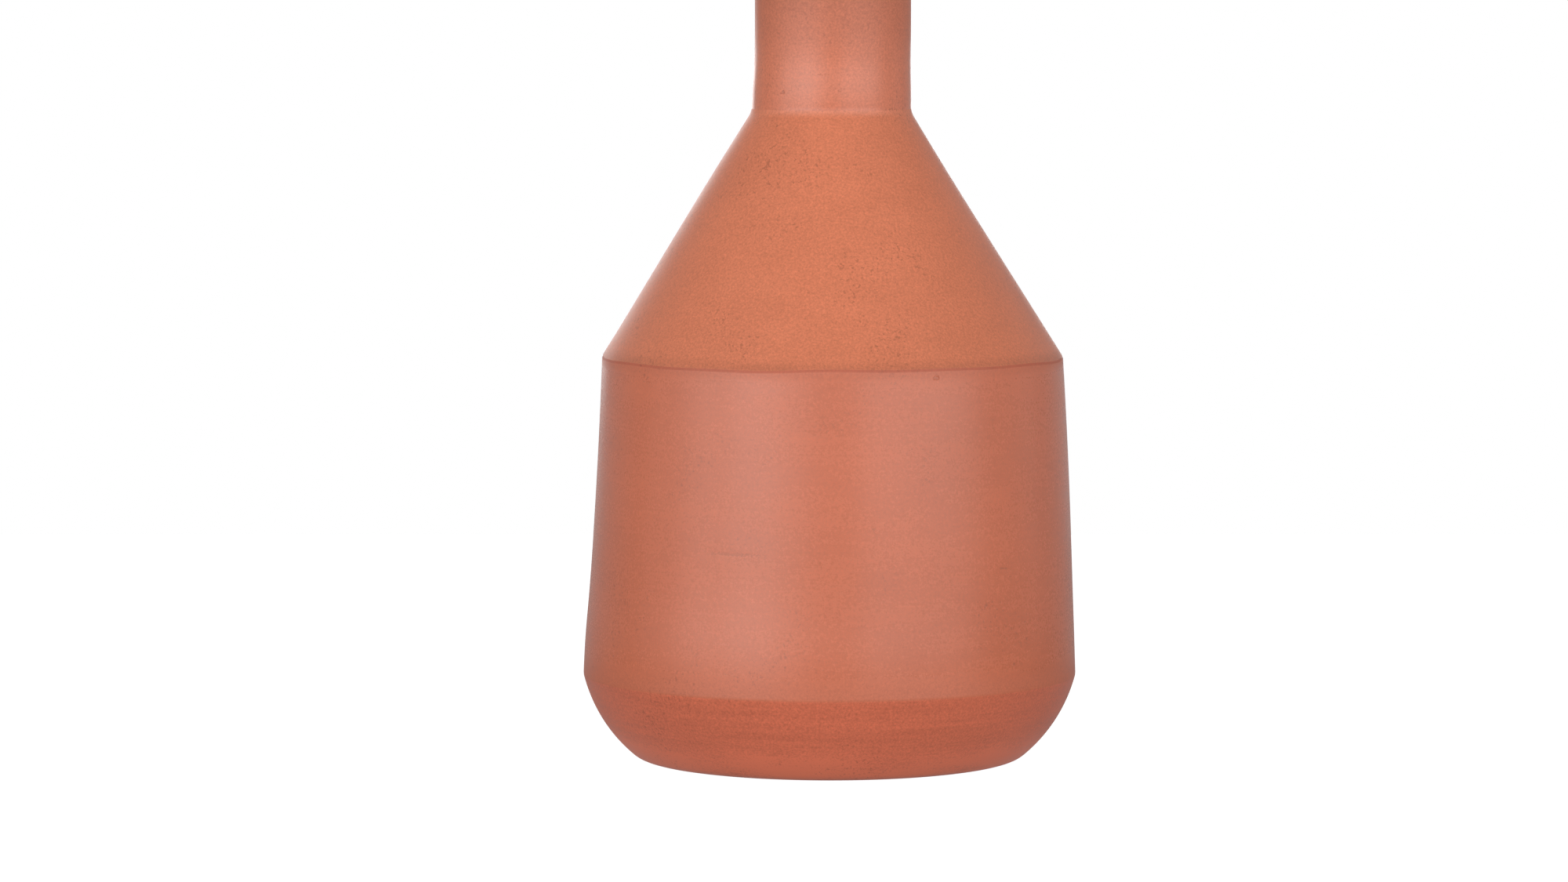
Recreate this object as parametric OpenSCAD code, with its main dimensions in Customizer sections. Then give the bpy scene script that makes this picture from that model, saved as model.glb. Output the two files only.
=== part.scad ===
// Terracotta amphora: a bottle-shaped vase built from thrown clay sections.
// A floor disc, a curved base, a tapering wall, a conical shoulder and a straight neck
// are luted together with rings of soft clay. Units are millimetres, +Z is up, and
// the origin is the centre of the resting face.

/* [Body] */
// Widest diameter, at the break between the wall and the curved base
body_d = 150.4; // [145:0.1:156]
// Diameter at the shoulder edge
shoulder_d = 140.6; // [134:0.1:144]
// Height of the shoulder edge above the table
shoulder_z = 122.8; // [112:0.1:134]
// Rounding of the shoulder edge
shoulder_round = 3; // [1:0.5:6]
// Thickness of the wall, the shoulder and the base
wall_t = 5.5; // [5:0.1:6.5]

/* [Neck] */
// Outside diameter of the neck
neck_d = 47.5; // [46:0.1:52]
// Thickness of the neck's wall
neck_t = 4.75; // [4:0.05:5.5]
// Height at which the neck meets the shoulder
neck_z = 198.2; // [190:0.1:206]
// Rounding of the hollow corner where the neck meets the shoulder
neck_round = 6; // [3:0.5:10]
// Height of the whole vase
height = 280; // [250:1:320]

/* [Base] */
// Radius of the curved base in section
bevel_round = 45; // [42:0.5:48]
// Slope of the curved base at its top, in degrees from vertical
bevel_top = 14.3; // [10:0.1:18]
// Slope of the curved base at the foot, in degrees from vertical
bevel_foot = 50; // [47:0.5:53]
// Rounding of the break between the wall and the base
break_round = 5; // [4:0.5:7]
// Rounding of the foot
foot_round = 6.8; // [6:0.1:8]
// Depth of the hollow turned under the floor
recess = 1.6; // [1:0.1:2.4]
// Height of the floor's upper face
floor_z = 7.5; // [7:0.1:9]
// Width of the flat ring that the vase rests on
foot_ring_w = 4.7; // [4:0.1:6]

/* [Luting] */
// Thickness of the soft clay between two sections
lute_t = 0.8; // [0.5:0.1:1]
// How far the fillet of soft clay reaches along each inner face from its corner
fillet_leg = 7; // [5:0.5:8]

/* [Hidden] */

$fn = 128;
arc_step = 4;       // largest turn between two points of an arc, in degrees
reach = 15;         // how far a cutting line runs past the wall on each side
bite = 2.5;         // how far a fillet's outline dips into the wall before it is trimmed
inner_neck_round = 4;
body_r = body_d / 2;
neck_r = neck_d / 2;
bore_r = neck_r - neck_t;
lip_round = 0.46 * neck_t;
inner_bevel = bevel_round - wall_t;

// The three tangent arcs of the base stack up to the height of the break.
break_z = break_round * sin(bevel_top)
        + bevel_round * (sin(bevel_foot) - sin(bevel_top))
        + foot_round * (1 - sin(bevel_foot));
break_c = [body_r - break_round, break_z];
bevel_c = polar(break_c, break_round - bevel_round, -bevel_top);
foot_c = polar(bevel_c, bevel_round - foot_round, -bevel_foot);
foot_ring_r = foot_c.x - foot_ring_w;

// Outer corners, before rounding.
wall_lean = atan((body_r - shoulder_d / 2) / (shoulder_z - break_z));
wall_low = polar(break_c, break_round, wall_lean);
shoulder = [shoulder_d / 2, shoulder_z];
neck_root = [neck_r, neck_z];
rim = [neck_r, height];

// Inner corners.
floor_corner = on_inner_bevel(floor_z);
inner_break = on_inner_bevel(break_z);
cone_start = inward(shoulder, neck_root, wall_t);
inner_shoulder = crossing(
    inward(wall_low, shoulder, wall_t), shoulder - wall_low,
    cone_start, neck_root - shoulder
);
inner_neck = crossing(cone_start, neck_root - shoulder, [bore_r, 0], [0, 1]);

// The seat of the floor disc runs up and out, from beside the foot ring to the inner corner.
seat_rise = atan2(floor_z - recess, floor_corner.x - foot_ring_r);
seat_low = [foot_ring_r - lute_t / 2 / sin(seat_rise), recess];

// Each joint runs from the inside of the wall to the outside.
base_joint = [inner_break, [body_r, break_z]];
shoulder_joint = [inner_shoulder, shoulder];
neck_joint = [inner_neck, neck_root];

function polar(c, r, a) = c + r * [cos(a), sin(a)];
function unit(v) = v / norm(v);
function left(v) = [-v.y, v.x];

// A point moved to the left of the line from a to b, which is inwards on the way up.
function inward(a, b, t) = a + t * left(unit(b - a));

// Where the line through p along u meets the line through q along v.
function crossing(p, u, q, v) = p + u * cross(q - p, v) / cross(u, v);

// The point of the inner face of the curved base at a height.
function on_inner_bevel(z) =
    polar(bevel_c, inner_bevel, -asin((bevel_c.y - z) / inner_bevel));
function inner_bevel_angle(p) = atan2(p.y - bevel_c.y, p.x - bevel_c.x);

function arc(c, r, from, to) =
    let (n = max(2, ceil(abs(to - from) / arc_step)))
    [for (i = [0 : n]) polar(c, r, from + (to - from) * i / n)];

// An arc of radius r that rounds the corner b between a and c.
function rounded(a, b, c, r) =
    let (
        u = unit(a - b),
        v = unit(c - b),
        half = acos(u * v) / 2,
        centre = b + unit(u + v) * r / sin(half),
        start = b + u * r / tan(half) - centre,
        turn = (180 - 2 * half) * sign(cross(u, v)),
        from = atan2(start.y, start.x)
    )
    arc(centre, r, from, from - turn);

function without_first(points) = [for (i = [1 : len(points) - 1]) points[i]];

// The section of the whole wall, up the outside and down the inside.
outer_face = concat(
    arc(foot_c, foot_round, -90, -bevel_foot),
    without_first(arc(bevel_c, bevel_round, -bevel_foot, -bevel_top)),
    without_first(arc(break_c, break_round, -bevel_top, wall_lean)),
    rounded(wall_low, shoulder, neck_root, shoulder_round),
    [neck_root]
);
lip = concat(
    arc(rim - [lip_round, lip_round], lip_round, 0, 90),
    arc([bore_r + lip_round, height - lip_round], lip_round, 90, 180)
);
inner_face = concat(
    rounded([bore_r, height], inner_neck, inner_shoulder, inner_neck_round),
    [inner_shoulder],
    arc(bevel_c, inner_bevel, inner_bevel_angle(inner_break), inner_bevel_angle(floor_corner))
);
underside = [[0, floor_z], [0, recess], [foot_ring_r, recess], [foot_ring_r, 0]];

module wall_section() polygon(concat(outer_face, lip, inner_face, underside));

// A point of a joint's line: past its inner end or its outer end, and above or below it.
function joint_end(joint, outwards, up) =
    let (along = unit(joint[1] - joint[0]))
    (outwards ? joint[1] + reach * along : joint[0] - reach * along)
    + up * lute_t / 2 * left(along);

// The zone between two joints, clear of the soft clay in both.
module between(lower, upper)
    polygon([
        joint_end(lower, false, 1), joint_end(lower, true, 1),
        joint_end(upper, true, -1), joint_end(upper, false, -1),
    ]);

// The strip of soft clay in one joint.
module strip(joint)
    polygon([
        joint_end(joint, false, -1), joint_end(joint, true, -1),
        joint_end(joint, true, 1), joint_end(joint, false, 1),
    ]);

// The seat's line has a strip of soft clay along it, which stops at the inner corner.
seat_way = unit(floor_corner - seat_low);
seat_side = lute_t / 2 * left(seat_way);
seat_start = seat_low - reach / 2 * seat_way;
module floor_strip()
    polygon([
        seat_start - seat_side, floor_corner - seat_side,
        floor_corner + seat_side, seat_start + seat_side,
    ]);

// The zone of the floor disc, on the inner side of that strip.
above_floor = 0.5;
floor_edge = crossing(seat_low + seat_side, seat_way, [0, floor_z + above_floor], [1, 0]);
module floor_zone()
    polygon([
        [0, seat_start.y], seat_start + seat_side,
        floor_edge, [0, floor_z + above_floor],
    ]);

// The zone of the floor disc and the strip together.
module seat_zone()
    polygon([
        [0, seat_start.y], seat_start - seat_side, floor_corner - seat_side,
        floor_corner + seat_side, [0, floor_z + above_floor],
    ]);

// A fillet in an inner corner, from one face to the other, trimmed to both.
module fillet(low, corner, high)
    difference() {
        polygon([low, corner + bite * left(unit(low - high)), high]);
        wall_section();
    }

// The slab that closes the bottom, with a bevelled edge.
module floor_disc() color("#b9644a")
    rotate_extrude() intersection() {
        wall_section();
        floor_zone();
    }

// The curved base with the foot ring under it.
module base_wall() color("#c06a50")
    rotate_extrude() difference() {
        intersection() {
            wall_section();
            polygon([
                [0, -1], [body_r + reach, -1],
                joint_end(base_joint, true, -1), joint_end(base_joint, false, -1),
                [0, floor_z + reach],
            ]);
        }
        seat_zone();
    }

// The tall wall, which narrows a little towards the shoulder.
module body_wall() color("#c9735a")
    rotate_extrude() intersection() {
        wall_section();
        between(base_joint, shoulder_joint);
    }

// The straight-sided cone above the wall.
module shoulder_cone() color("#d07a55")
    rotate_extrude() intersection() {
        wall_section();
        between(shoulder_joint, neck_joint);
    }

// The straight neck with its rounded lip.
module neck_tube() color("#cc7860")
    rotate_extrude() intersection() {
        wall_section();
        polygon([
            joint_end(neck_joint, false, 1), joint_end(neck_joint, true, 1),
            [neck_r + reach, height + 1], [bore_r - reach, height + 1],
        ]);
    }

// Soft clay round the floor's edge, smeared into the corner of the base.
module floor_lute() color("#a85a42")
    rotate_extrude() {
        intersection() {
            wall_section();
            floor_strip();
        }
        fillet(
            floor_corner - [fillet_leg, 0], floor_corner,
            on_inner_bevel(floor_z + fillet_leg * cos(bevel_foot))
        );
    }

// Soft clay between the base and the wall, smeared over the joint inside.
module base_lute() color("#a85a42")
    rotate_extrude() {
        intersection() {
            wall_section();
            strip(base_joint);
        }
        fillet(
            on_inner_bevel(break_z - fillet_leg), inner_break,
            inner_break + fillet_leg * unit(inner_shoulder - inner_break)
        );
    }

// Soft clay between the wall and the shoulder, seen outside as a thin dark line.
module shoulder_lute() color("#a85a42")
    rotate_extrude() {
        intersection() {
            wall_section();
            strip(shoulder_joint);
        }
        fillet(
            inner_shoulder + fillet_leg * unit(inner_break - inner_shoulder), inner_shoulder,
            inner_shoulder + fillet_leg * unit(inner_neck - inner_shoulder)
        );
    }

// Soft clay between the shoulder and the neck, smoothed into the hollow corner outside.
module neck_lute() color("#a85a42")
    rotate_extrude() {
        intersection() {
            wall_section();
            strip(neck_joint);
        }
        polygon(concat(rounded(shoulder, neck_root, rim, neck_round), [neck_root]));
    }

floor_disc();
base_wall();
body_wall();
shoulder_cone();
neck_tube();
floor_lute();
base_lute();
shoulder_lute();
neck_lute();
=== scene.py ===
import math

import bpy
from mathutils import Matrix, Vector


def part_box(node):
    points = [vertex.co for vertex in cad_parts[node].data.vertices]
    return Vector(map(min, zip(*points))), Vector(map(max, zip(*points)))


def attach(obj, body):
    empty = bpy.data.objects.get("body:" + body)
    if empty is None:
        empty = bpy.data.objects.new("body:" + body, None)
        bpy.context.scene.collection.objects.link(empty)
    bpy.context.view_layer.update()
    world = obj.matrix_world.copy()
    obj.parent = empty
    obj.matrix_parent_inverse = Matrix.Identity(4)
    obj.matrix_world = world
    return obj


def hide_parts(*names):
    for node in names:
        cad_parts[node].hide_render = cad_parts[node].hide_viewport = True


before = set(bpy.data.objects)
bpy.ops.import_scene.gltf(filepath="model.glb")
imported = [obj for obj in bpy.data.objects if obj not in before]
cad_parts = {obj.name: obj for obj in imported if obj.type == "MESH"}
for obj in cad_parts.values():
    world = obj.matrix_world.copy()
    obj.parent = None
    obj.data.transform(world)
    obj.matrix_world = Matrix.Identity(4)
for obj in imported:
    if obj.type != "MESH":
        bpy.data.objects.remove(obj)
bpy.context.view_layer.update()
mm = 0.001


# ---- Floor slab ----
# A thrown disc of terracotta that closes the bottom, laid in a bevelled seat in the base ring.
# Its upper face keeps the rings of the thrower's fingers. Its underside was turned hollow with a
# trimming tool, so that the vase stands on the ring round it.

wheel_steps = 256     # facets in one turn of the wheel
ring_gap = 1.3 * mm   # largest distance between two rings of points along a section
wall = 5.5 * mm
film = 0.8 * mm       # soft clay between two sections

body_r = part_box("base_lute")[1][0]
base_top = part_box("base_wall")[1][2]
wall_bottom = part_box("body_wall")[0][2]
break_z = (base_top + wall_bottom) / 2

# The base is drawn as three arcs that meet smoothly: foot, curved base and break.
bevel_round = 45 * mm
bevel_top, bevel_foot = 14.3, 50.0
break_round = 5 * mm
foot_round = 6.8 * mm


def polar(centre, radius, degrees):
    turn = math.radians(degrees)
    return centre + radius * Vector((math.cos(turn), math.sin(turn)))


def arc(centre, radius, start, end, steps):
    return [polar(centre, radius, start + (end - start) * i / steps) for i in range(steps + 1)]


break_c = Vector((body_r - break_round, break_z))
bevel_c = polar(break_c, break_round - bevel_round, -bevel_top)
foot_c = polar(bevel_c, bevel_round - foot_round, -bevel_foot)
inner_bevel = bevel_round - wall


def inner_bevel_angle(z):
    return -math.degrees(math.asin((bevel_c.y - z) / inner_bevel))


floor_z = 7.5 * mm
recess = 1.6 * mm
foot_width = 4.7 * mm
foot_ring = foot_c.x - foot_width
floor_corner = polar(bevel_c, inner_bevel, inner_bevel_angle(floor_z))
seat_foot = Vector((foot_ring, recess))
seat_way = (floor_corner - seat_foot).normalized()
slab_low = seat_foot - Vector((film / seat_way.y, 0))
slab_high = slab_low + seat_way * (floor_z - recess) / seat_way.y


def ribbed(start, end, depth, pitch):
    """Points along a face from start to end, in ribs as deep and as far apart as fingers leave.
    The ribs fade out over the first and the last fifth."""
    way = end - start
    out = Vector((-way.y, way.x)).normalized()
    steps = math.ceil(way.length / ring_gap)
    points = []
    for i in range(steps + 1):
        fade = min(1, 5 * i / steps, 5 * (steps - i) / steps)
        rib = math.sin(2 * math.pi * way.length * i / steps / pitch)
        points.append(start + way * i / steps + out * depth * fade * rib)
    return points


def throw(name, section):
    """Draws a section point by point beside the axis and spins it once round, as on a wheel."""
    bpy.ops.object.select_all(action="DESELECT")
    bpy.ops.mesh.primitive_plane_add(size=mm, location=(section[0].x, 0, section[0].y))
    piece = bpy.context.object
    piece.name = piece.data.name = name
    bpy.ops.object.transform_apply(location=True)
    bpy.ops.object.mode_set(mode="EDIT")
    bpy.ops.mesh.merge(type="CENTER")
    touches_axis = section[0].x < ring_gap and section[-1].x < ring_gap
    for a, b in zip(section, section[1:] if touches_axis else section[1:] + section[:1]):
        hops = max(1, math.ceil((b - a).length / ring_gap))
        hop = (b - a) / hops
        for i in range(hops):
            bpy.ops.mesh.extrude_vertices_move(TRANSFORM_OT_translate={"value": (hop.x, 0, hop.y)})
    bpy.ops.mesh.select_all(action="SELECT")
    bpy.ops.mesh.spin(steps=wheel_steps, angle=2 * math.pi, center=(0, 0, 0), axis=(0, 0, 1))
    bpy.ops.mesh.select_all(action="SELECT")
    bpy.ops.mesh.remove_doubles(threshold=0.002 * mm)
    bpy.ops.mesh.normals_make_consistent(inside=False)
    bpy.ops.object.mode_set(mode="OBJECT")
    bpy.ops.object.shade_smooth_by_angle(angle=math.radians(40))
    return piece


def around(z, level, reach):
    """1 at a level, fading to nothing about two reaches above and below it."""
    return math.exp(-((z - level) / reach) ** 2)


def handle(piece):
    """Moves a piece's points as handling did while the clay was soft: the axis bows a little, the
    lower wall swells on one side, and the shoulder's edge and the lip waver. Sizes are in mm."""
    for vertex in piece.data.vertices:
        x, y, z = vertex.co / mm
        turn = math.atan2(y, x)
        neck_lean = 0.42 * around(z, 215, 22)
        bow = 0.002 * z - 0.03 - 0.5 * math.cos(math.pi * z / 95) + neck_lean
        swell = 0.35 * around(z, 36, 13) * (0.6 - 0.4 * math.cos(turn))
        grow = 1 + swell / 75
        waver = 0.2 * math.sin(3 * turn - 0.8) + 0.12 * math.sin(7 * turn)
        waver += 0.1 * math.sin(12 * turn + 2)
        lift = waver * (around(z, 122.8, 7) + 0.3 * around(z, 280, 9))
        vertex.co = Vector((x * grow + bow, y * grow, z + lift)) * mm


def seat(piece, material, node):
    """Finishes a piece and puts it in the place of its CAD node."""
    handle(piece)
    piece.data.materials.append(material)
    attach(piece, "root")
    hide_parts(node)


class Value:
    """A shader socket that can be used in sums: an expression adds its Math nodes."""

    def __init__(self, recipe, socket):
        self.recipe = recipe
        self.socket = socket

    def maths(self, operation, *values):
        return self.recipe.node("ShaderNodeMath", {"operation": operation}, dict(enumerate(values)))

    def __add__(self, other):
        return self.maths("ADD", self, other)

    def __radd__(self, other):
        return self.maths("ADD", other, self)

    def __sub__(self, other):
        return self.maths("SUBTRACT", self, other)

    def __rsub__(self, other):
        return self.maths("SUBTRACT", other, self)

    def __mul__(self, other):
        return self.maths("MULTIPLY", self, other)

    def __rmul__(self, other):
        return self.maths("MULTIPLY", other, self)


class Recipe:
    """The nodes of a material, or of the room's light, mixed in front of its own shader."""

    def __init__(self, owner, shader="Principled BSDF"):
        owner.use_nodes = True
        self.tree = owner.node_tree
        self.shader = self.tree.nodes[shader]

    def node(self, kind, settings=None, sockets=None, output=0):
        """Adds a node, sets it, then fills its sockets with numbers or links."""
        node = self.tree.nodes.new(kind)
        for key, value in (settings or {}).items():
            setattr(node, key, value)
        for key, value in (sockets or {}).items():
            self.fill(node.inputs[key], value)
        return Value(self, node.outputs[output])

    def fill(self, socket, value):
        if isinstance(value, Value):
            self.tree.links.new(value.socket, socket)
        else:
            socket.default_value = value

    def give(self, socket, value):
        """Fills one of the shader's own sockets."""
        self.fill(self.shader.inputs[socket], value)

    def place(self, *scale):
        """Object coordinates in millimetres, stretched by scale along X, Y and Z."""
        here = self.node("ShaderNodeTexCoord", output="Object")
        return self.node("ShaderNodeMapping", {}, {"Vector": here, "Scale": [s / mm for s in scale]})

    def noise(self, place, size, detail=2.0, rough=0.5, seed=0.0):
        """Noise from 0 to 1 whose blots are about size millimetres across."""
        sockets = {"Vector": place, "W": seed, "Scale": 1 / size, "Detail": detail, "Roughness": rough}
        return self.node("ShaderNodeTexNoise", {"noise_dimensions": "4D"}, sockets)

    def ease(self, value, low, high):
        """0 below low, 1 above high, and a smooth change between them."""
        sockets = {"Value": value, "From Min": low, "From Max": high}
        return self.node("ShaderNodeMapRange", {"interpolation_type": "SMOOTHSTEP"}, sockets)

    def mix(self, amount, a, b):
        """Colour a where amount is 0 and colour b where it is 1."""
        sockets = {"Factor": amount, 6: a, 7: b}
        return self.node("ShaderNodeMix", {"data_type": "RGBA"}, sockets, output=2)


def clay(name, colour, roughness, turning, grit, painted_light_and_stains=(), flaws=()):
    """Low-fired terracotta: a fine red clay with grain, iron specks in clouds, blushes from the fire,
    smudges of hands and fine turning lines. A band (from, to, darker, rougher) darkens or pales the
    clay and changes its roughness between two heights; these bands hold painted shade and painted
    light as well as stains. A flaw (turn, height, out, wide, tall, darker, raised) is one mark in the
    surface."""
    material = bpy.data.materials.new(name)
    recipe = Recipe(material)
    still = recipe.place(1, 1, 1)
    height = recipe.node("ShaderNodeSeparateXYZ", {}, {"Vector": still}, 2)
    blush = recipe.noise(still, 38, 3, 0.55) - 0.5
    smudge = recipe.noise(recipe.place(0.35, 0.35, 1), 7, 4, 0.6, 3) - 0.5
    streak = recipe.noise(recipe.place(0.03, 0.03, 1), 1.1, 3, 0.65, 4) - 0.5
    grain = grit * (recipe.noise(still, 0.7, 4, 0.75, 9) - 0.5)
    cloud = recipe.ease(recipe.noise(still, 24, 2, 0.5, 21), 0.52, 0.66)
    speck = recipe.ease(recipe.noise(still, 0.9, 2, 0.5, 15), 0.57, 0.68) * (0.1 + cloud)
    tone = 0.51 + 0.36 * blush + 0.26 * smudge + 0.28 * turning * streak
    tone = tone + 0.56 * grain - 0.17 * grit * speck
    rough = roughness + 0.12 * smudge + 0.06 * turning * streak + 0.04 * grain
    relief = 0.003 * grain + 0.004 * turning * streak - 0.006 * speck
    # Each band darkens the clay between two heights, or pales it where darker is below 0: painted
    # shade and painted light, partly grime, wear and dirt.
    for low, high, darker, rougher in painted_light_and_stains:
        reach = recipe.ease(height, low, high)
        tone = tone - 0.4 * darker * reach * (1 + 2 * smudge + 2 * blush)
        rough = rough + rougher * reach
    for turn, level, out, wide, tall, darker, raised in flaws:
        angle = math.radians(turn)
        middle = (out * math.sin(angle) / wide, -out * math.cos(angle) / wide, level / tall)
        near = recipe.place(1 / wide, 1 / wide, 1 / tall)
        apart = recipe.node("ShaderNodeVectorMath", {"operation": "DISTANCE"}, {0: near, 1: middle}, 1)
        mark = recipe.ease(apart + 0.5 * grain, 0.5, 0.3)
        tone = tone - 0.4 * darker * mark
        relief = relief + raised * mark
    pale = [1.3 * c for c in colour] + [1]
    dark = [0.7 * c for c in colour] + [1]
    recipe.give("Base Color", recipe.mix(tone, dark, pale))
    recipe.give("Roughness", rough)
    recipe.give("Sheen Weight", 0.12)
    recipe.give("Sheen Roughness", 0.35)
    recipe.give("Sheen Tint", (0.9, 0.85, 0.9, 1))
    bump = {"Strength": 0.6, "Distance": 0.001, "Height": relief}
    recipe.give("Normal", recipe.node("ShaderNodeBump", {}, bump))
    return material


base_clay = clay(
    "base_clay", (0.588, 0.137, 0.069), roughness=0.45, turning=2.2, grit=3.6,
    # Painted shade darkens the base just below the break, where it turns under; towards the foot it is
    # paler, painted light from the table together with rubbed wear.
    painted_light_and_stains=((17, 26.4, 0.25, -0.08), (13, 4, -1.2, 0.05)),
    flaws=((31.5, 9.5, 62.5, 0.7, 0.7, -1.5, 0.1), (48.4, 17.5, 69.8, 0.8, 0.7, -1.2, 0.1)),
)

floor_slab = throw(
    "floor_slab",
    ribbed(Vector((0, recess)), slab_low, 0.12 * mm, 3.1 * mm)
    + ribbed(slab_high, Vector((0, floor_z)), 0.3 * mm, 6.5 * mm),
)
seat(floor_slab, base_clay, "floor_disc")


# ---- Base ring ----
# The curved base, thrown as a ring and turned on the outside to three arcs that meet smoothly.
# It ends below in the flat ring that the vase stands on.

film_turn = math.degrees(math.asin(film / 2 / break_round))
inner_break = polar(bevel_c, inner_bevel, inner_bevel_angle(break_z))

base_ring = throw(
    "base_ring",
    [Vector((foot_ring, 0))]
    + arc(foot_c, foot_round, -90, -bevel_foot, 6)
    + arc(bevel_c, bevel_round, -bevel_foot, -bevel_top, 24)[1:]
    + arc(break_c, break_round, -bevel_top, -film_turn, 3)[1:]
    + arc(bevel_c, inner_bevel, inner_bevel_angle(break_z - film / 2), inner_bevel_angle(floor_z), 20)
    + [seat_foot],
)
seat(base_ring, base_clay, "base_wall")


# ---- Floor luting ----
# Soft clay that beds the floor slab in its seat. Inside the vase a fingertip smeared it from the
# slab up the base ring.

luting_clay = clay("luting_clay", (0.46, 0.108, 0.053), roughness=0.55, turning=0.4, grit=2)
smear_reach = 7 * mm


def smear(start, corner, end):
    """The hollow face that a fingertip leaves in soft clay, across an inner corner."""
    pressed = corner.lerp((start + end) / 2, 0.3)
    points = []
    for i in range(9):
        t = i / 8
        points.append(start.lerp(pressed, t).lerp(pressed.lerp(end, t), t))
    return points


floor_smear_top = polar(bevel_c, inner_bevel, inner_bevel_angle(floor_z + 0.64 * smear_reach))
floor_luting = throw(
    "floor_luting",
    [seat_foot, slab_low, slab_high]
    + smear(floor_corner - Vector((smear_reach, 0)), floor_corner, floor_smear_top)
    + [floor_corner],
)
seat(floor_luting, luting_clay, "floor_lute")


# ---- Wall ----
# A tall thrown cylinder that narrows a little towards the shoulder. The outside was rubbed
# smooth, and the inside keeps its finger ribs.

shoulder = Vector((70.3, 122.8)) * mm
neck_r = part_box("neck_tube")[1][0]
neck_root = Vector((neck_r, 198.2 * mm))
shoulder_round = 3 * mm
lean = math.degrees(math.atan((body_r - shoulder.x) / (shoulder.y - break_z)))
wall_low = polar(break_c, break_round, lean)
outer_way = (shoulder - wall_low).normalized()
wall_foot = wall_low + outer_way * (break_z + film / 2 - wall_low.y) / outer_way.y


def rounded(before, corner, after, radius, steps=8):
    """An arc that rounds a corner between two straight faces."""
    u = (before - corner).normalized()
    v = (after - corner).normalized()
    half = u.angle(v) / 2
    centre = corner + (u + v).normalized() * radius / math.sin(half)
    start = (corner + u * radius / math.tan(half) - centre).normalized()
    end = (corner + v * radius / math.tan(half) - centre).normalized()
    return [centre + radius * start.slerp(end, i / steps) for i in range(steps + 1)]


def inside(before, corner, after):
    """The corner of the inner face that lies one wall's thickness inside an outer corner."""
    u = (corner - before).normalized()
    v = (after - corner).normalized()
    side = Vector((-u.y - v.y, u.x + v.x)).normalized()
    return corner + side * wall / math.cos(u.angle(v) / 2)


inner_shoulder = inside(wall_low, shoulder, neck_root)
shoulder_way = (shoulder - inner_shoulder).normalized()
shoulder_up = film / 2 * Vector((-shoulder_way.y, shoulder_way.x))
shoulder_edge = rounded(wall_low, shoulder, neck_root, shoulder_round)
seam = shoulder_edge[4]  # where the shoulder's joint comes out
seam_depth = 0.06 * mm

wall_clay = clay(
    "wall_clay", (0.544, 0.14, 0.067), roughness=0.27, turning=0.4, grit=2.2,
    # Painted shade darkens the wall just below the shoulder's rounded edge and towards the break.
    painted_light_and_stains=((119, 122.6, 0.2, 0.15), (34, 26.4, 0.25, 0.12)),
    flaws=(
        (-23, 68.6, 72.5, 20, 1.1, 0.5, -0.01),
        (44, 63.1, 72.7, 5, 0.8, 0.9, -0.02),
        (46, 60.5, 72.7, 3, 0.7, 0.7, -0.02),
        (25.6, 120.6, 70.4, 2.6, 1.5, 0.5, 0.12),
    ),
)

belly_wall = throw(
    "belly_wall",
    [wall_foot]
    + shoulder_edge[:3]
    + [seam - seam_depth * shoulder_way - shoulder_up]
    + ribbed(inner_shoulder - shoulder_up, inner_break + Vector((0, film / 2)), 0.35 * mm, 8 * mm),
)
seat(belly_wall, wall_clay, "body_wall")


# ---- Base luting ----
# Soft clay that joins the base ring to the wall. Outside it was scraped flush and can't be seen.
# Inside, a fingertip smeared it over both.

inner_wall_way = (inner_shoulder - inner_break).normalized()
base_smear_low = polar(bevel_c, inner_bevel, inner_bevel_angle(break_z - smear_reach))
base_luting = throw(
    "base_luting",
    arc(break_c, break_round, -film_turn, lean, 2)
    + [wall_foot, inner_break + Vector((0, film / 2))]
    + smear(inner_break + smear_reach * inner_wall_way, inner_break, base_smear_low)
    + arc(
        bevel_c,
        inner_bevel,
        inner_bevel_angle(break_z - 0.8 * smear_reach),
        inner_bevel_angle(break_z - film / 2),
        4,
    ),
)
seat(base_luting, wall_clay, "base_lute")


# ---- Shoulder ----
# A straight-sided terracotta cone, thrown on its own and left matt and grainy. It stands on the
# wall's upper edge and carries the neck.

neck_wall = 4.75 * mm
bore_r = neck_r - neck_wall
cone_way = (neck_root - shoulder).normalized()
rise_to_bore = cone_way * (bore_r - inner_shoulder.x) / cone_way.x
inner_neck = inner_shoulder + rise_to_bore
neck_way = (neck_root - inner_neck).normalized()
neck_up = film / 2 * Vector((-neck_way.y, neck_way.x))

shoulder_clay = clay(
    "shoulder_clay", (0.638, 0.192, 0.0975), roughness=0.45, turning=0.3, grit=3.2,
    # The cone is darker just above the seam: painted shade of the hollow joint, with some dirt along
    # it.
    painted_light_and_stains=((126.5, 123.4, 0.65, 0),),
    flaws=((-7.5, 182.1, 33.7, 0.8, 0.8, 1.6, -0.05), (-38, 193.6, 26.6, 1, 0.7, 1.5, -0.05)),
)
shoulder_cone = throw(
    "shoulder_cone",
    [seam - seam_depth * shoulder_way + shoulder_up]
    + shoulder_edge[6:]
    + [neck_root - neck_up, inner_neck - neck_up]
    + ribbed(inner_neck - neck_up, inner_shoulder + shoulder_up, 0.3 * mm, 7 * mm)[1:],
)
seat(shoulder_cone, shoulder_clay, "shoulder_cone")


# ---- Shoulder luting ----
# Soft clay that joins the shoulder to the wall. Outside it dried a little hollow, as a faint dark
# line round the edge, which painted shade on the cone's lower edge deepens. Inside, a fingertip
# smeared it over both.

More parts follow.
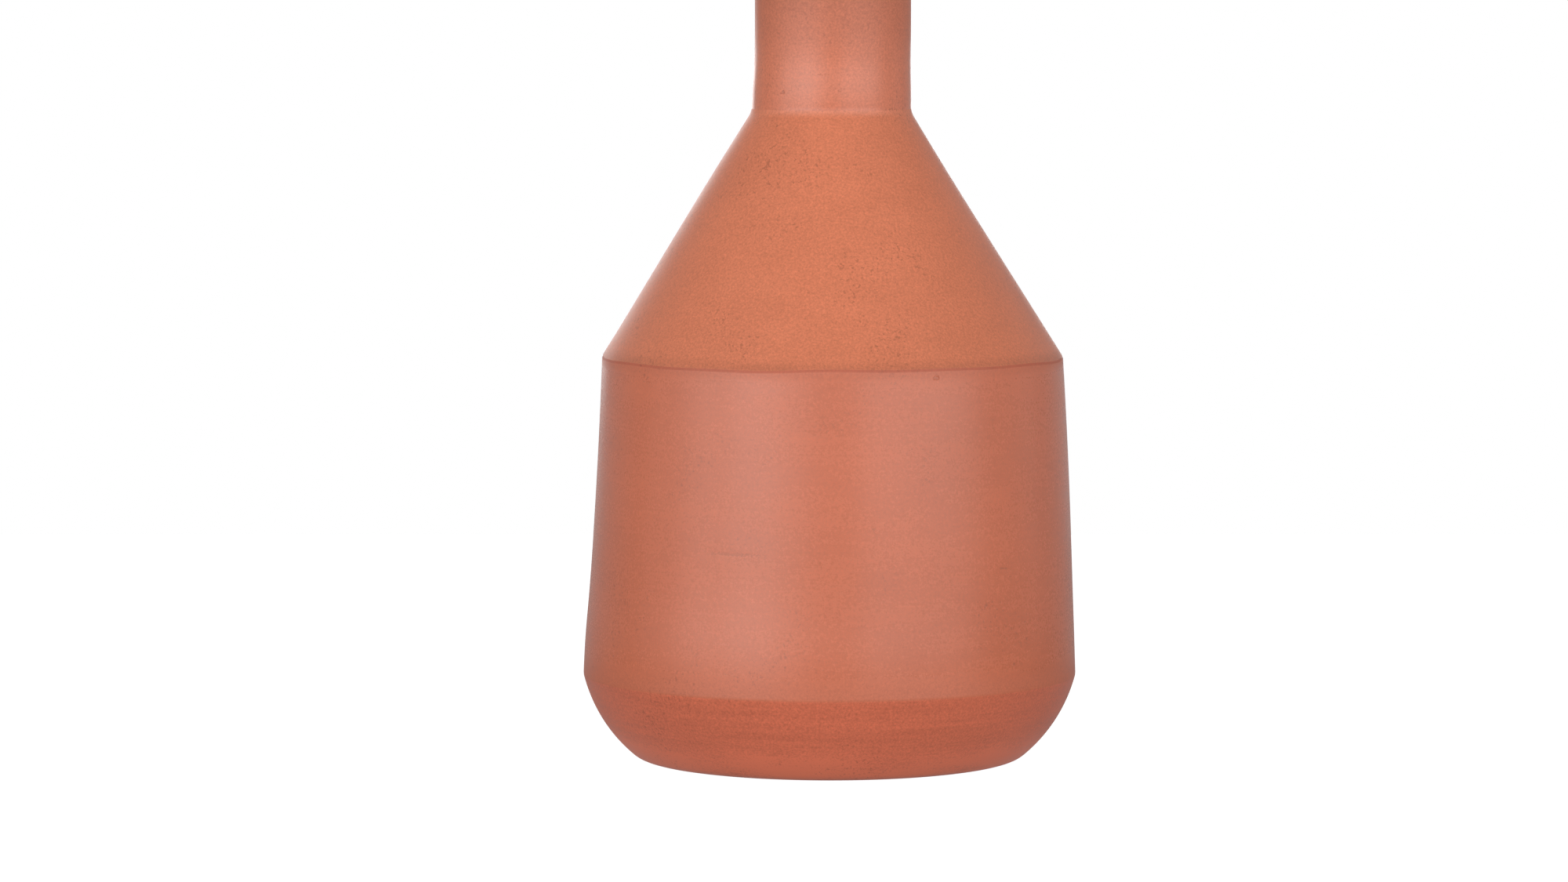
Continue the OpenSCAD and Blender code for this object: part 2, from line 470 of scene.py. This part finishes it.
shoulder_luting = throw(
    "shoulder_luting",
    [
        seam - seam_depth * shoulder_way - shoulder_up,
        seam - 1.3 * seam_depth * shoulder_way,
        seam - seam_depth * shoulder_way + shoulder_up,
        inner_shoulder + shoulder_up,
    ]
    + smear(
        inner_shoulder + smear_reach * cone_way,
        inner_shoulder,
        inner_shoulder - smear_reach * inner_wall_way,
    )
    + [inner_shoulder - shoulder_up],
)
seat(shoulder_luting, luting_clay, "shoulder_lute")


# ---- Neck ----
# A straight tube with a plain lip, rounded with a wet fingertip. Its foot flares a little where
# it meets the luting clay on the cone.

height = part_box("neck_tube")[1][2]
lip_round = 0.46 * neck_wall
rim = Vector((neck_r, height))
flare = 0.5 * mm
flare_height = 16 * mm
flared_root = neck_root + cone_way * flare / cone_way.x
root_round = 6 * mm
neck_foot = rounded(shoulder, flared_root, flared_root + Vector((0, flare_height)), root_round)
flare_steps = 12
flaring = []
for i in range(1, flare_steps + 1):
    spread = flare * (1 + math.cos(math.pi * i / flare_steps)) / 2
    flaring.append(Vector((neck_r + spread, neck_foot[8].y + flare_height * i / flare_steps)))

neck_clay = clay(
    "neck_clay", (0.585, 0.165, 0.083), roughness=0.3, turning=0.8, grit=3,
    # The neck is darker towards the lip: painted shade where its sheen fades, mixed with grime from
    # handling.
    painted_light_and_stains=((208, 230, 0.8, 0.2),),
    flaws=((-37.8, 203.7, 23.9, 1.6, 1.4, 0.6, -0.15),),
)
neck = throw(
    "neck",
    neck_foot[6:]
    + flaring
    + arc(rim - Vector((lip_round, lip_round)), lip_round, 0, 90, 8)
    + arc(Vector((bore_r + lip_round, height - lip_round)), lip_round, 90, 180, 8)
    + ribbed(Vector((bore_r, height - 6 * mm)), inner_neck + neck_up, 0.2 * mm, 6 * mm),
)
seat(neck, neck_clay, "neck_tube")


# ---- Neck luting ----
# Soft clay that beds the neck's foot on the cone. It was smoothed down onto the cone with a damp
# sponge, so it looks like part of it.

neck_luting = throw(
    "neck_luting",
    neck_foot[:7] + [inner_neck + neck_up, inner_neck - neck_up, neck_root - neck_up],
)
seat(neck_luting, shoulder_clay, "neck_lute")


# ---- Floor, stage and light ----
# A white table in a white tent, lit from round the front with a gap in the middle. Soft boxes add
# light from the left, from the right and from behind. The table shows only from above.

table_width = 1.4
table_drop = 0.05 * mm  # keeps the table's face clear of the foot ring's
bpy.ops.mesh.primitive_plane_add(size=table_width, location=(0, 0, -table_drop))
table = bpy.context.object
table.name = "table"
white = bpy.data.materials.new("white_table")
paint = Recipe(white)
paint.give("Base Color", (0.3, 0.3, 0.3, 1))
paint.give("Roughness", 0.9)
paint.give("Specular IOR Level", 0)
paint.give("Emission Color", (1, 1, 1, 1))
paint.give("Emission Strength", 0.96)

# The camera sees the table and the tent as plain white. The vase is lit by what they really give
# off: the table is darker away from the vase, except behind it.
seen = paint.node("ShaderNodeLightPath", output="Is Camera Ray")
here = paint.node("ShaderNodeTexCoord", output="Object")
away = paint.node("ShaderNodeVectorMath", {"operation": "LENGTH"}, {"Vector": here}, 1)
depth = paint.node("ShaderNodeSeparateXYZ", {}, {"Vector": here}, 1)
shade = paint.mix(paint.ease(away, 0.15, 0.3), (0.27, 0.27, 0.27, 1), (0.05, 0.05, 0.05, 1))
shade = paint.mix(paint.ease(depth, 0.05, 0.3), shade, (0.3, 0.3, 0.3, 1))
dim = paint.node("ShaderNodeEmission", {}, {"Color": shade})
bright = Value(paint, paint.shader.outputs["BSDF"])
either = paint.node("ShaderNodeMixShader", {}, {0: seen, 1: dim, 2: bright})
under = paint.node("ShaderNodeNewGeometry", output="Backfacing")
clear = paint.node("ShaderNodeBsdfTransparent")
either = paint.node("ShaderNodeMixShader", {}, {0: under, 1: either, 2: clear})
paint.fill(paint.tree.nodes["Material Output"].inputs["Surface"], either)
table.data.materials.append(white)

tent = bpy.data.worlds.new("tent")
bpy.context.scene.world = tent
glow = Recipe(tent, "Background")
way = glow.node("ShaderNodeTexCoord", output="Generated")
across, away, up = (glow.node("ShaderNodeSeparateXYZ", {}, {"Vector": way}, i) for i in range(3))

# The tent is bright in front, less so in the gap and below the table's level, and dark on top.
front = glow.ease(away, 0.05, -0.6)
gap = 1 - glow.ease(across * across, 0.01, 0.1)
top = glow.ease(up, 0.45, 0.55)
below = glow.ease(up, 0.03, -0.03)
sides = 0.42 + (2.85 - 1.2 * gap - 2.1 * below) * front
glow.give("Strength", sides * (1 - top) + 0.05 * top)
seen = glow.node("ShaderNodeLightPath", output="Is Camera Ray")
plain = glow.node("ShaderNodeBackground", {}, {"Color": (1, 1, 1, 1)})
glow.give("Color", (1, 1, 1, 1))
lit = Value(glow, glow.shader.outputs["Background"])
either = glow.node("ShaderNodeMixShader", {}, {0: seen, 1: lit, 2: plain})
glow.fill(glow.tree.nodes["World Output"].inputs["Surface"], either)

tent_r = 2.3          # metres


def soft_box(name, azimuth, spread, low, high, radiance):
    """A soft box upright in the tent's side, at an angle from the front, towards the right."""
    data = bpy.data.lights.new(name, "AREA")
    data.shape = "RECTANGLE"
    data.size = 2 * tent_r * math.tan(math.radians(spread / 2))
    data.size_y = high - low
    data.energy = radiance * math.pi * data.size * data.size_y
    light = bpy.data.objects.new(name, data)
    turn = math.radians(azimuth)
    light.location = (tent_r * math.sin(turn), -tent_r * math.cos(turn), (low + high) / 2)
    light.rotation_euler = (math.pi / 2, 0, turn)
    light.visible_camera = False
    bpy.context.collection.objects.link(light)


soft_box("left_soft_box", -38, 24, -0.5, 0.65, 0.9)
soft_box("low_left_soft_box", -80, 40, -0.2, 0.8, 0.45)
soft_box("right_soft_box", 100, 30, -0.1, 0.4, 0.4)
soft_box("back_soft_box", 185, 40, 0, 1.2, 2.6)

camera_data = bpy.data.cameras.new("camera")
camera_data.lens = 136.8
camera = bpy.data.objects.new("camera", camera_data)
camera.location = (-0.0143, -1.8156, 0.2443)
camera.rotation_euler = (math.radians(90 - 4.645), 0, 0)
bpy.context.collection.objects.link(camera)
bpy.context.scene.camera = camera
bpy.context.scene.view_settings.view_transform = "Standard"
